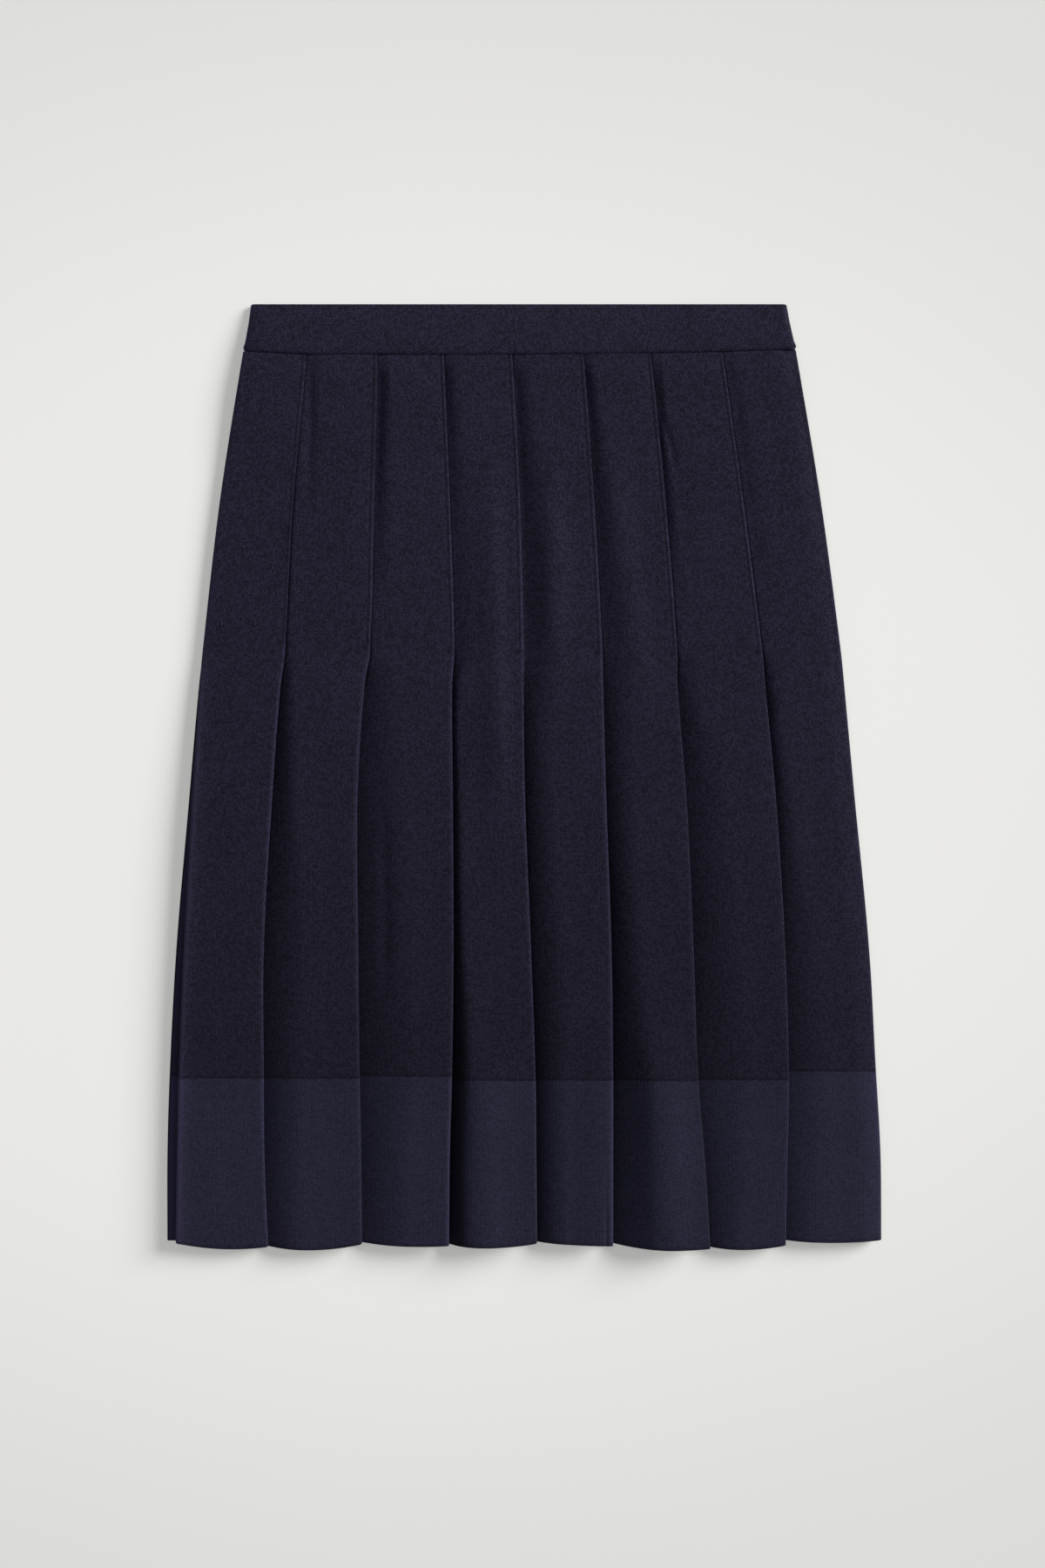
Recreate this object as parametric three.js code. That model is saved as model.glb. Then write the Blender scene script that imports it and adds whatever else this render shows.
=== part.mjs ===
import * as THREE from 'three';

// A pleated midi skirt laid flat on its back, front side up. Millimetres, +Z up, +Y to the waist.
// Every height on the garment is a distance s, measured down from the waistband's top edge.
// Across the garment x runs to the right as the front is seen.

// Cloth
const CLOTH = 1.2; // thickness of the knit
const AIR = 0.3; // space between two cloths that lie on each other, and at every seam
const LAYERS = 6; // cloths on top of each other where pleats lie over pleats
const PLEAT_CLOTH = 106; // width of cloth that one pleat takes: what shows, and twice its depth
const NOSE = 0.9; // how far a fold rounds off, and its half thickness at the tip

// Waistband
const BAND_WALL = 2.4; // a strip of knit folded double
const BAND_TURN = 2.2; // rounding of the side folds, across
const BAND_TOP_GAP = 0.3; // between the two walls at the top edge

// Heights of the named sections
const STATION = {
  seam: 32, hip: 130, release: 230, free: 255, thigh: 330, knee: 430, line: 516, low: 570, hem: 627,
};
const BODY_ROWS = [32, 80, 130, 180, 230, 255, 330, 430, 516];
const HEM_ROWS = [516, 570, 627];

// Front, from left to right: the side fold (0), then the edge of each pleat.
const FRONT_FOLDS = [
  { fold: 0, seam: -187.5, hip: -203, release: -214.5, free: -216.5,
    thigh: -221, knee: -226.8, line: -230.3, low: -231.4, hem: -232.2 },
  { fold: 1, seam: -145, hip: -154, release: -159, free: -162.5,
    thigh: -168, knee: -173.5, line: -173.5, low: -173, hem: -170.5 },
  { fold: 2, seam: -97.5, hip: -100, release: -102.5, free: -106.5,
    thigh: -111, knee: -110.5, line: -109.5, low: -108.5, hem: -108 },
  { fold: 3, seam: -53.5, hip: -49.5, release: -46.5, free: -48,
    thigh: -47.5, knee: -47, line: -48, low: -49.5, hem: -50 },
  { fold: 4, seam: -8, hip: -3, release: -0.5, free: -0.5,
    thigh: 0.5, knee: 4.5, line: 7.5, low: 8, hem: 8.5 },
  { fold: 5, seam: 39.5, hip: 46.5, release: 52, free: 52.5,
    thigh: 54.5, knee: 58, line: 59, low: 59, hem: 59 },
  { fold: 6, seam: 84.5, hip: 94, release: 102, free: 102,
    thigh: 108, knee: 112.5, line: 115.5, low: 120, hem: 123.5 },
  { fold: 7, seam: 132, hip: 145, release: 158.5, free: 160.5,
    thigh: 167.5, knee: 173.5, line: 176, low: 175, hem: 174 },
  { fold: 8, seam: 181, hip: 197.5, release: 211, free: 213.5,
    thigh: 220.5, knee: 230, line: 234.5, low: 237.5, hem: 238 },
];

// The last pleat edge of the back, which shows at the left; the back's side fold lies inside fold 8.
const REAR_LAST = {
  seam: -187.5, hip: -203, release: -214.5, free: -217.5,
  thigh: -224, knee: -232.5, line: -237, low: -238.5, hem: -238.5,
};
const REAR_INSET = 2.5;

// How far each front pleat stands off the cloth below it once it is let go.
const FRONT_LIFT = [
  { fold: 1, release: 0, free: 0.8, thigh: 1.4, knee: 1.8, line: 2, hem: 2 },
  { fold: 2, release: 0, free: 2.4, thigh: 5, knee: 5.4, line: 5.2, hem: 4 },
  { fold: 3, release: 0, free: 2, thigh: 4.4, knee: 6, line: 6.6, hem: 5.6 },
  { fold: 4, release: 0, free: 1.8, thigh: 3.6, knee: 4.8, line: 8, hem: 8.4 },
  { fold: 5, release: 0, free: 2.4, thigh: 4, knee: 5, line: 5.4, hem: 5.4 },
  { fold: 6, release: 0, free: 1.8, thigh: 4, knee: 6.8, line: 9, hem: 8.6 },
  { fold: 7, release: 0, free: 1, thigh: 2.6, knee: 4.4, line: 4.2, hem: 2.4 },
  { fold: 8, release: 0, free: 0.8, thigh: 1.2, knee: 2, line: 1.8, hem: 1.6 },
];
const LIFT_INSIDE = 0.85; // share of the lift that is left at the inner fold

// How far each front panel takes to come up beside the edge of the pleat before, and how much of
// its height is reached at RISE_AT of that distance.
const FRONT_CLIMB = [
  { panel: 1, seam: 5, hem: 5 },
  { panel: 2, seam: 8, hip: 10, release: 12, free: 10, thigh: 25, knee: 33, line: 34, hem: 28 },
  { panel: 3, seam: 7, hip: 10, release: 16, free: 22, thigh: 32, knee: 36, line: 38, hem: 34 },
  { panel: 4, seam: 8, hip: 14, release: 16, free: 7, thigh: 8, knee: 9, line: 12, hem: 20 },
  { panel: 5, seam: 18, hip: 16, release: 22, free: 20, thigh: 20, knee: 26, line: 32, hem: 34 },
  { panel: 6, seam: 7, hip: 14, release: 18, free: 18, thigh: 20, knee: 22, line: 34, hem: 38 },
  { panel: 7, seam: 6, hip: 10, release: 18, free: 16, thigh: 26, knee: 32, line: 38, hem: 34 },
  { panel: 8, seam: 9, hip: 12, release: 15, free: 9, thigh: 12, knee: 22, line: 26, hem: 20 },
];
const RISE_AT = 0.55;
const RISEN = 0.8;

// How far the front's side fold stands above its first panel, and the share left 5 mm inwards.
const SIDE_RIDGE = { seam: 0.3, hip: 0.3, release: 0.6, free: 2, thigh: 3, knee: 3, line: 3, hem: 2.8 };
const RIDGE_LEFT = 0.2;

// Top of the hem band, and the hem at the left, middle and right of each front panel.
const FRONT_HEM = [
  { panel: 1, line: 516, left: 625.5, mid: 629.5, right: 628 },
  { panel: 2, line: 516, left: 628, mid: 630, right: 626 },
  { panel: 3, line: 514.5, left: 625.5, mid: 627.5, right: 627 },
  { panel: 4, line: 517, left: 626.5, mid: 628, right: 625 },
  { panel: 5, line: 517, left: 625, mid: 626.5, right: 627 },
  { panel: 6, line: 517, left: 626, mid: 629.5, right: 628.5 },
  { panel: 7, line: 517, left: 628.5, mid: 630, right: 627 },
  { panel: 8, line: 511.5, left: 624, mid: 625.5, right: 624 },
];
const REAR_HEM = { line: 515, first: 623, last: 624.8 };
const HIDDEN_RISE = 0.05; // hidden cloth is this much shorter for each millimetre from the edge

// Lower edge of the waistband across the garment, and its outline from top to bottom.
const SEAM_LINE = [
  { x: -190, s: 31.6 },
  { x: -144, s: 33.8 },
  { x: 0, s: 33.8 },
  { x: 115, s: 32.4 },
  { x: 184, s: 30.4 },
];
const BAND_OUTLINE = [
  { down: 0, left: -182, right: 174.5, wall: 0.5 },
  { down: 0.035, left: -182.8, right: 175.3, wall: 1 },
  { down: 0.38, left: -184, right: 177, wall: 1 },
  { down: 0.8, left: -186.3, right: 179.8, wall: 1 },
  { down: 0.92, left: -187.6, right: 181.4, wall: 1 },
  { down: 1, left: -187, right: 180.8, wall: 0.75 },
];

const NAVY = 0x24222f;
const BAND_BLUE = 0x272634;

const PITCH = CLOTH + AIR;
const TOP_LEVEL = LAYERS - 1;

const mix = (a, b, t) => a + (b - a) * t;

// Height of the middle of cloth number `level`, counted from the floor.
const level = (number) => CLOTH / 2 + PITCH * number;

// Value of a table row at height s: a smooth curve through the row's named sections.
function along(row, s) {
  const names = Object.keys(STATION).filter((name) => name in row);
  const at = names.map((name) => STATION[name]);
  const value = names.map((name) => row[name]);
  const last = at.length - 1;
  if (s <= at[0]) return value[0];
  if (s >= at[last]) return value[last];
  const slope = at.map((_, i) => {
    const a = Math.max(i - 1, 0);
    const b = Math.min(i + 1, last);
    return (value[b] - value[a]) / (at[b] - at[a]);
  });
  const i = at.findIndex((edge, n) => n < last && s < at[n + 1]);
  const span = at[i + 1] - at[i];
  const t = (s - at[i]) / span;
  const h1 = t * t * (3 - 2 * t);
  const h2 = t * (1 - t) * (1 - t) * span;
  const h3 = t * t * (t - 1) * span;
  return mix(value[i], value[i + 1], h1) + slope[i] * h2 + slope[i + 1] * h3;
}

// Height s on a polyline table of x and s.
function across(table, x) {
  if (x <= table[0].x) return table[0].s;
  for (let i = 1; i < table.length; i += 1) {
    const from = table[i - 1];
    const to = table[i];
    if (x <= to.x) return mix(from.s, to.s, (x - from.x) / (to.x - from.x));
  }
  return table[table.length - 1].s;
}

// The two halves. Each is described in its own direction u, along which its pleats follow each other;
// on the back u runs to the left and the levels are counted from the top.
const FRONT = {
  edges: (s) => FRONT_FOLDS.map((row) => along(row, s)),
  lift: (k, s) => along(FRONT_LIFT[k - 1], s),
  ridge: (s) => along(SIDE_RIDGE, s),
  sideLevel: 5,
  place: (u, n) => ({ x: u, z: level(n) }),
  run: (k, s) => along(FRONT_CLIMB[k - 1], s),
  hem: (k) => FRONT_HEM[k - 1],
};
const BACK = {
  edges: (s) => {
    const front = FRONT.edges(s);
    const start = front[8] - REAR_INSET;
    const share = (k) => (front[k] - front[0]) / (front[8] - front[0]);
    return front.map((_, k) => -mix(start, along(REAR_LAST, s), share(k)));
  },
  lift: () => 0,
  ridge: () => 0,
  sideLevel: 3,
  place: (u, n) => ({ x: -u, z: level(TOP_LEVEL - n) }),
  run: () => 8,
  hem: (k) => {
    const low = mix(REAR_HEM.first, REAR_HEM.last, (k - 1) / 7);
    return { line: REAR_HEM.line, left: low, mid: low + 0.8, right: low };
  },
};
FRONT.other = BACK;
BACK.other = FRONT;

const depth = (edges, k) => (PLEAT_CLOTH - (edges[k] - edges[k - 1])) / 2;

// Middle line of one half at height s, from the side seam hidden in the other half's last pleat to
// the side seam hidden in its own. Levels may be fractions; lift is in millimetres.
function middleLine(half, s) {
  const edge = half.edges(s);
  const tip = edge.map((u, k) => (k === 0 ? u + NOSE : u - NOSE));
  const line = [];
  const put = (u, n, lift, hem) => line.push({ ...half.place(u, n + lift / PITCH), hem });
  const other = half.other.edges(s);
  const seam = depth(other, 8) + NOSE - other[8];
  const first = half.hem(1);
  const start = { line: first.line, end: first.left - 1 };
  const side = { line: first.line, end: first.left };
  const stand = half.ridge(s) + LIFT_INSIDE * half.lift(1, s);
  put(seam - 1.2, 1, 0, start);
  put(seam - NOSE, 1, 0, start);
  put(seam, 1.5, 0, start);
  put(seam - NOSE, 2, 0, start);
  put(mix(seam, tip[0], 0.5), 2, 0, start);
  put(tip[0] + NOSE, 2, 0, side);
  put(tip[0], (2 + half.sideLevel) / 2, stand / 2, side);
  for (let k = 1; k <= 8; k += 1) {
    const d = depth(edge, k);
    const inner = tip[k] - d;
    const lift = half.lift(k, s);
    const low = half.hem(k);
    const begin = k === 1 ? tip[0] + NOSE : edge[k - 1] + 1.2;
    const crest = inner - 1.5;
    const shown = (u) => {
      const t = (u - edge[k - 1]) / (edge[k] - edge[k - 1]);
      const bow = low.mid - (low.left + low.right) / 2;
      return { line: low.line, end: mix(low.left, low.right, t) + 4 * t * (1 - t) * bow };
    };
    const under = (u) => ({ line: low.line, end: low.right - HIDDEN_RISE * (tip[k] - u) });
    const middle = inner + d / 2;
    const inside = LIFT_INSIDE * lift;
    const midLift = (inside + lift) / 2;
    const run = Math.min(half.run(k, s), crest - begin);
    if (k === 1 && half === FRONT) {
      put(begin, 5, stand, shown(begin));
      put(begin + run, 5, inside + RIDGE_LEFT * half.ridge(s), shown(begin + run));
    } else {
      const rise = begin + RISE_AT * run;
      put(begin, 3, 0, shown(begin));
      put(rise, mix(3, 5, RISEN), RISEN * inside, shown(rise));
    }
    put(crest, 5, inside, shown(crest));
    put(middle, 5, midLift, shown(middle));
    put(tip[k] - NOSE, 5, lift, shown(tip[k]));
    put(tip[k], 4.5, lift, shown(tip[k]));
    put(tip[k] - NOSE, 4, lift, under(tip[k]));
    put(middle, 4, midLift, under(middle));
    if (k === 8) {
      put(inner + 1.5, 4, inside, under(inner));
    } else {
      put(inner + NOSE, 4, inside, under(inner));
      put(inner, 3.5, inside / 2, under(inner));
      put(inner + NOSE, 3, 0, under(inner));
    }
  }
  return line;
}

// Where a point of nominal height s ends up: the top follows the waistband, the hem its own curve.
function fall(point, s) {
  const top = across(SEAM_LINE, point.x) + AIR;
  if (s <= STATION.hip) return mix(top, STATION.hip, (s - STATION.seam) / (STATION.hip - STATION.seam));
  if (s <= STATION.knee) return s;
  const { line, end } = point.hem;
  if (s <= STATION.line) return mix(STATION.knee, line, (s - STATION.knee) / (STATION.line - STATION.knee));
  return mix(line, end, (s - STATION.line) / (STATION.hem - STATION.line));
}

// Closed solid between two sheets that lie half a wall either side of rows of middle points.
function wallSolid(rows, wall, closed) {
  const count = rows[0].length;
  const positions = [];
  rows.forEach((row, j) => {
    row.forEach((point, i) => {
      const before = closed ? row[(i + count - 1) % count] : row[Math.max(i - 1, 0)];
      const after = closed ? row[(i + 1) % count] : row[Math.min(i + 1, count - 1)];
      const a = new THREE.Vector2(point.x - before.x, point.z - before.z).normalize();
      const b = new THREE.Vector2(after.x - point.x, after.z - point.z).normalize();
      if (a.lengthSq() === 0) a.copy(b);
      if (b.lengthSq() === 0) b.copy(a);
      const normal = new THREE.Vector2(-a.y - b.y, a.x + b.x).normalize();
      const reach = wall(j) / 2 / Math.max(normal.x * -a.y + normal.y * a.x, 0.5);
      positions.push(point.x + normal.x * reach, -point.s, point.z + normal.y * reach);
      positions.push(point.x - normal.x * reach, -point.s, point.z - normal.y * reach);
    });
  });
  const outer = (j, i) => 2 * (j * count + (i % count));
  const inner = (j, i) => outer(j, i) + 1;
  const index = [];
  const quad = (a, b, c, d) => index.push(a, b, c, a, c, d);
  const spans = closed ? count : count - 1;
  const last = rows.length - 1;
  for (let i = 0; i < spans; i += 1) {
    for (let j = 0; j < last; j += 1) {
      quad(outer(j, i), outer(j + 1, i), outer(j + 1, i + 1), outer(j, i + 1));
      quad(inner(j, i + 1), inner(j + 1, i + 1), inner(j + 1, i), inner(j, i));
    }
    quad(outer(0, i), outer(0, i + 1), inner(0, i + 1), inner(0, i));
    quad(outer(last, i + 1), outer(last, i), inner(last, i), inner(last, i + 1));
  }
  if (!closed) {
    const end = count - 1;
    for (let j = 0; j < last; j += 1) {
      quad(outer(j + 1, 0), outer(j, 0), inner(j, 0), inner(j + 1, 0));
      quad(outer(j, end), outer(j + 1, end), inner(j + 1, end), inner(j, end));
    }
  }
  const geometry = new THREE.BufferGeometry();
  geometry.setAttribute('position', new THREE.Float32BufferAttribute(positions, 3));
  geometry.setIndex(index);
  return geometry;
}

// One cloth of a half between two heights; `inset` trims half a seam gap off an end.
function pleatedCloth(half, heights, insetTop, insetEnd) {
  const lastRow = heights.length - 1;
  const rows = heights.map((s, j) => {
    const trim = (j === 0 ? insetTop : 0) - (j === lastRow ? insetEnd : 0);
    return middleLine(half, s).map((point) => ({ ...point, s: fall(point, s) + trim }));
  });
  return wallSolid(rows, () => CLOTH, false);
}

// The waistband: a flattened ring whose front wall rises from the top edge to the pleats.
function waistband() {
  const floor = BAND_WALL / 2;
  const low = floor + BAND_WALL + BAND_TOP_GAP;
  const high = level(TOP_LEVEL) + CLOTH / 2 - BAND_WALL / 2;
  const shares = [0.06, 0.118, 0.3, 0.5, 0.68, 0.83, 0.94];
  const rows = BAND_OUTLINE.map((outline) => {
    const top = mix(low, high, Math.sin(outline.down * Math.PI / 2));
    const left = outline.left + BAND_WALL / 2;
    const right = outline.right - BAND_WALL / 2;
    const ring = [];
    const put = (x, z) => ring.push({ x, z, s: outline.down * across(SEAM_LINE, x) });
    const turn = (x, sign, from) => {
      for (let n = 0; n <= 4; n += 1) {
        const angle = from - n * Math.PI / 4;
        const out = BAND_TURN * (Math.abs(Math.cos(angle)) - 1);
        put(x + sign * out, mix(floor, top, 0.5 + 0.5 * Math.sin(angle)));
      }
    };
    shares.forEach((share) => put(mix(left, right, share), top));
    turn(right, 1, Math.PI / 2);
    shares.slice().reverse().forEach((share) => put(mix(left, right, share), floor));
    turn(left, -1, Math.PI * 1.5);
    return ring;
  });
  return wallSolid(rows, (j) => BAND_WALL * BAND_OUTLINE[j].wall, true);
}

function piece(name, geometry, color) {
  geometry.computeVertexNormals();
  const mesh = new THREE.Mesh(geometry, new THREE.MeshStandardMaterial({ color, roughness: 0.95 }));
  mesh.name = name;
  return mesh;
}

const gap = AIR / 2;
const skirt = new THREE.Group();
skirt.name = 'pleated_midi_skirt';
skirt.add(
  piece('waistband', waistband(), NAVY),
  piece('front_pleats', pleatedCloth(FRONT, BODY_ROWS, 0, gap), NAVY),
  piece('back_pleats', pleatedCloth(BACK, BODY_ROWS, 0, gap), NAVY),
  piece('front_hem_band', pleatedCloth(FRONT, HEM_ROWS, gap, 0), BAND_BLUE),
  piece('back_hem_band', pleatedCloth(BACK, HEM_ROWS, gap, 0), BAND_BLUE),
);

// The origin is the middle of the underside of the whole garment.
const box = new THREE.Box3().setFromObject(skirt);
const centre = box.getCenter(new THREE.Vector3());
skirt.children.forEach((mesh) => mesh.geometry.translate(-centre.x, -centre.y, -box.min.z));

export default skirt;
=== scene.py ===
"""A fine-knit midi skirt with knife pleats, a plain waistband and a contrast hem band, laid flat.

Sizes are in millimetres until a mesh is made. A height on the garment is s, measured down from the
waistband's top edge. Each half, front or back, is described in its own direction u, along which its
pleats follow each other, and by a height h above the floor; the back is the front turned over.
"""

import math

import bpy
import numpy as np
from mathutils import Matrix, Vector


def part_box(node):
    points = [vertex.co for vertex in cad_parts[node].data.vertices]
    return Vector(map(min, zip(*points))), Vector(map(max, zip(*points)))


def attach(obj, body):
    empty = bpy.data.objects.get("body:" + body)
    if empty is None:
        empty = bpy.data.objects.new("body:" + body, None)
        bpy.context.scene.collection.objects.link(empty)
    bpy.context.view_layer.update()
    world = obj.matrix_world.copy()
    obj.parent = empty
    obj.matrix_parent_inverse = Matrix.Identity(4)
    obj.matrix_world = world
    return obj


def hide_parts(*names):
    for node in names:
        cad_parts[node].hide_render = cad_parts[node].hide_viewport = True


bl_info = {
    "name": "Pleated Midi Skirt",
    "version": (1, 0, 0),
    "blender": (4, 5, 0),
    "location": "View3D > Sidebar > Skirt",
    "description": "Builds a knife-pleated knit skirt laid flat, piece by piece",
    "category": "Add Mesh",
}

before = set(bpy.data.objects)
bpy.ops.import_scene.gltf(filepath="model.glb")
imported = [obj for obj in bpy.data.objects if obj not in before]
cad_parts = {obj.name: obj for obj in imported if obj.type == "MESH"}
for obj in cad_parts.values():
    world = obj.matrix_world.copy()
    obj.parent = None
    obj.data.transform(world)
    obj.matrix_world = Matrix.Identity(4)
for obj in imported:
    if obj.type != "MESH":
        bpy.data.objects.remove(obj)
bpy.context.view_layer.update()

MM = 0.001
AIR = 0.3  # between two cloths that lie on each other
LAYERS = 6  # cloths on top of each other where pleats lie over pleats
WAISTBAND_WALL = 2.4
WAISTBAND_TURN = 2.2
JOIN_GAP = 0.03  # between two pieces at a seam, as it shows
TOP_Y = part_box("waistband")[1][1] / MM

STATION = {
    "seam": 32, "hip": 130, "release": 230, "free": 255, "thigh": 330,
    "knee": 430, "line": 516, "low": 570, "hem": 627,
}

# Front, from left to right: the side fold (0), then the edge of each pleat.
FRONT_FOLDS = [
    dict(fold=0, seam=-187.5, hip=-203, release=-214.5, free=-216.5,
         thigh=-221, knee=-226.8, line=-230.3, low=-231.4, hem=-232.2),
    dict(fold=1, seam=-145, hip=-153.4, release=-159, free=-162.5,
         thigh=-168, knee=-173.5, line=-173.5, low=-173, hem=-170.5),
    dict(fold=2, seam=-97.5, hip=-100, release=-102.5, free=-106.5,
         thigh=-111, knee=-110.5, line=-109.5, low=-108.5, hem=-108),
    dict(fold=3, seam=-53.5, hip=-49.5, release=-46.5, free=-48,
         thigh=-47.5, knee=-47, line=-48, low=-49.5, hem=-50),
    dict(fold=4, seam=-8, hip=-3, release=-0.5, free=-0.5,
         thigh=0.5, knee=4.5, line=7.5, low=8, hem=8.5),
    dict(fold=5, seam=39.5, hip=46.5, release=52, free=52.5,
         thigh=54.5, knee=58, line=59, low=59, hem=59),
    dict(fold=6, seam=84.5, hip=94, release=102, free=102,
         thigh=108, knee=112.5, line=115.5, low=120, hem=123.5),
    dict(fold=7, seam=132, hip=145.7, release=158.5, free=160.5,
         thigh=167.5, knee=173.5, line=176, low=175, hem=174),
    dict(fold=8, seam=181, hip=197.5, release=211, free=213.5,
         thigh=220.5, knee=230, line=234.5, low=237.5, hem=238),
]
REAR_LAST = dict(seam=-187.5, hip=-203, release=-214.5, free=-217.5,
                 thigh=-224, knee=-232.5, line=-237, low=-238.5, hem=-238.5)
REAR_INSET = 2.5

# How far each front pleat stands off the cloth below it once it is let go.
FRONT_LIFT = [
    dict(fold=1, release=0, free=0.8, thigh=1.4, knee=1.8, line=2, hem=2),
    dict(fold=2, release=0, free=2.4, thigh=5, knee=5.4, line=5.2, hem=4),
    dict(fold=3, release=0, free=2, thigh=4.4, knee=6, line=6.6, hem=5.6),
    dict(fold=4, release=0, free=1.8, thigh=3.6, knee=4.8, line=8, hem=8.4),
    dict(fold=5, release=0, free=2.4, thigh=4, knee=5, line=5.4, hem=5.4),
    dict(fold=6, release=0, free=1.8, thigh=4, knee=6.8, line=9, hem=8.6),
    dict(fold=7, release=0, free=1, thigh=2.6, knee=4.4, line=4.2, hem=2.4),
    dict(fold=8, release=0, free=0.8, thigh=1.2, knee=2, line=1.8, hem=1.6),
]
LIFT_INSIDE = 0.85  # share of the lift that is left at the inner fold

# How far each front panel takes to come up beside the edge of the pleat before, and how wide the
# flat bottom beside that edge is.
FRONT_CLIMB = [
    dict(panel=2, seam=8, hip=10, release=12, free=10, thigh=16, knee=29, line=27, hem=23),
    dict(panel=3, seam=7, hip=10, release=16, free=22, thigh=32, knee=36, line=38, hem=34),
    dict(panel=4, seam=6, hip=13, release=16, free=5, thigh=5, knee=8, line=17, hem=19),
    dict(panel=5, seam=11, hip=15, release=22, free=20, thigh=20, knee=26, line=38, hem=43),
    dict(panel=6, seam=5, hip=14, release=18, free=18, thigh=20, knee=21, line=27, hem=29),
    dict(panel=7, seam=5, hip=6, release=18, free=16, thigh=26, knee=32, line=38, hem=34),
    dict(panel=8, seam=9, hip=12, release=15, free=9, thigh=12, knee=22, line=26, hem=20),
]
FRONT_HOLLOW = [
    dict(panel=2, seam=3, release=1, free=0, hem=0),
    dict(panel=3, seam=2.5, release=1, free=0, hem=0),
    dict(panel=4, seam=0.8, release=1, free=0, hem=0),
    dict(panel=5, seam=1.2, release=2, free=0, hem=0),
    dict(panel=6, seam=0.8, release=1, free=0, hem=0),
    dict(panel=7, seam=0.3, hip=0.3, release=0.8, free=0, hem=0),
    dict(panel=8, seam=2.5, hip=3.5, release=1, free=0, hem=0),
]

# How soon the climb levels off: at 1 it is a straight slope, above it is ever rounder.
FRONT_BEND = [
    dict(panel=2, release=2.1, thigh=1.5, knee=1.8, hem=1.8),
    dict(panel=3, release=2.1, thigh=1.9, knee=1.7, hem=1.8),
    dict(panel=4, release=2.1, knee=2.1, line=2.6, hem=2.6),
    dict(panel=5, release=2.1, knee=2.1, line=2.1, hem=2.1),
    dict(panel=6, release=2.1, knee=1.9, line=1.6, hem=1.6),
    dict(panel=7, release=2.1, thigh=1.9, line=1.7, hem=1.8),
    dict(panel=8, release=2.1, thigh=2.1, line=1.8, hem=1.9),
]

# Share of that climb which is done right beside a stitched pleat, because the stitching holds it up.
FRONT_BED = [
    dict(panel=2, seam=0.6, hip=0.95, release=0.95, free=0, hem=0),
    dict(panel=3, seam=0, hip=0.15, release=0.85, free=0, hem=0),
    dict(panel=4, seam=0.1, hip=0.3, release=0.35, free=0, hem=0),
    dict(panel=5, seam=0.1, hip=0, release=0, free=0, hem=0),
    dict(panel=6, seam=0, hip=0.1, release=0.25, free=0, hem=0),
    dict(panel=7, seam=0, hip=0.1, release=0.9, free=0, hem=0),
    dict(panel=8, seam=0.6, hip=0.6, release=0.85, free=0, hem=0),
]

# How far the side fold stands above the first panel.
SIDE_RIDGE = dict(seam=0.3, hip=0.3, release=0.6, free=2, thigh=3, knee=3, line=3, hem=2.8)

# How far a loose pleat edge bends down, over ROLL_WIDTH, and how much lighter its edge is painted, a
# painted highlight for its fuzz catching the light: at 0.45 it is as light as the cloth beside it, and
# below that it is painted darker, a painted shade.
FRONT_ROLL = [
    dict(fold=1, free=1, thigh=1.1, knee=1.1, line=0.7, hem=0.4),
    dict(fold=2, free=1, thigh=1.1, knee=1.1, line=0.6, hem=0.4),
    dict(fold=3, free=0.9, thigh=0.8, knee=0.7, line=0.8, hem=1.1),
    dict(fold=4, free=0.5, thigh=0.7, knee=0.8, line=0.4, hem=0.1),
    dict(fold=5, free=0.8, thigh=1.1, knee=1.3, line=1.1, hem=1.2),
    dict(fold=6, free=0.4, thigh=0.4, knee=0.7, line=0.2, hem=0.15),
    dict(fold=7, free=0.3, thigh=0.3, knee=0.5, line=0.2, hem=0.2),
    dict(fold=8, free=0.3, hem=0.3),
]
ROLL_WIDTH = 2.6

# Top of the hem band, the hem at the left, middle and right of each front panel, and the height at
# which the pleat at its right edge is let go.
FRONT_HEM = [
    dict(panel=1, line=516, left=625.5, mid=629.5, right=628, freed=226),
    dict(panel=2, line=516, left=628, mid=630, right=626, freed=229),
    dict(panel=3, line=514.5, left=625.5, mid=627.5, right=627, freed=231),
    dict(panel=4, line=517, left=626.5, mid=628, right=625, freed=232),
    dict(panel=5, line=517, left=625, mid=626.5, right=627, freed=233),
    dict(panel=6, line=517, left=626, mid=629.5, right=628.5, freed=233),
    dict(panel=7, line=517, left=628.5, mid=630, right=627, freed=232),
    dict(panel=8, line=511.5, left=624, mid=625.5, right=624, freed=231),
]
REAR_HEM = dict(line=515, first=623, last=624.8, freed=230)

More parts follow.
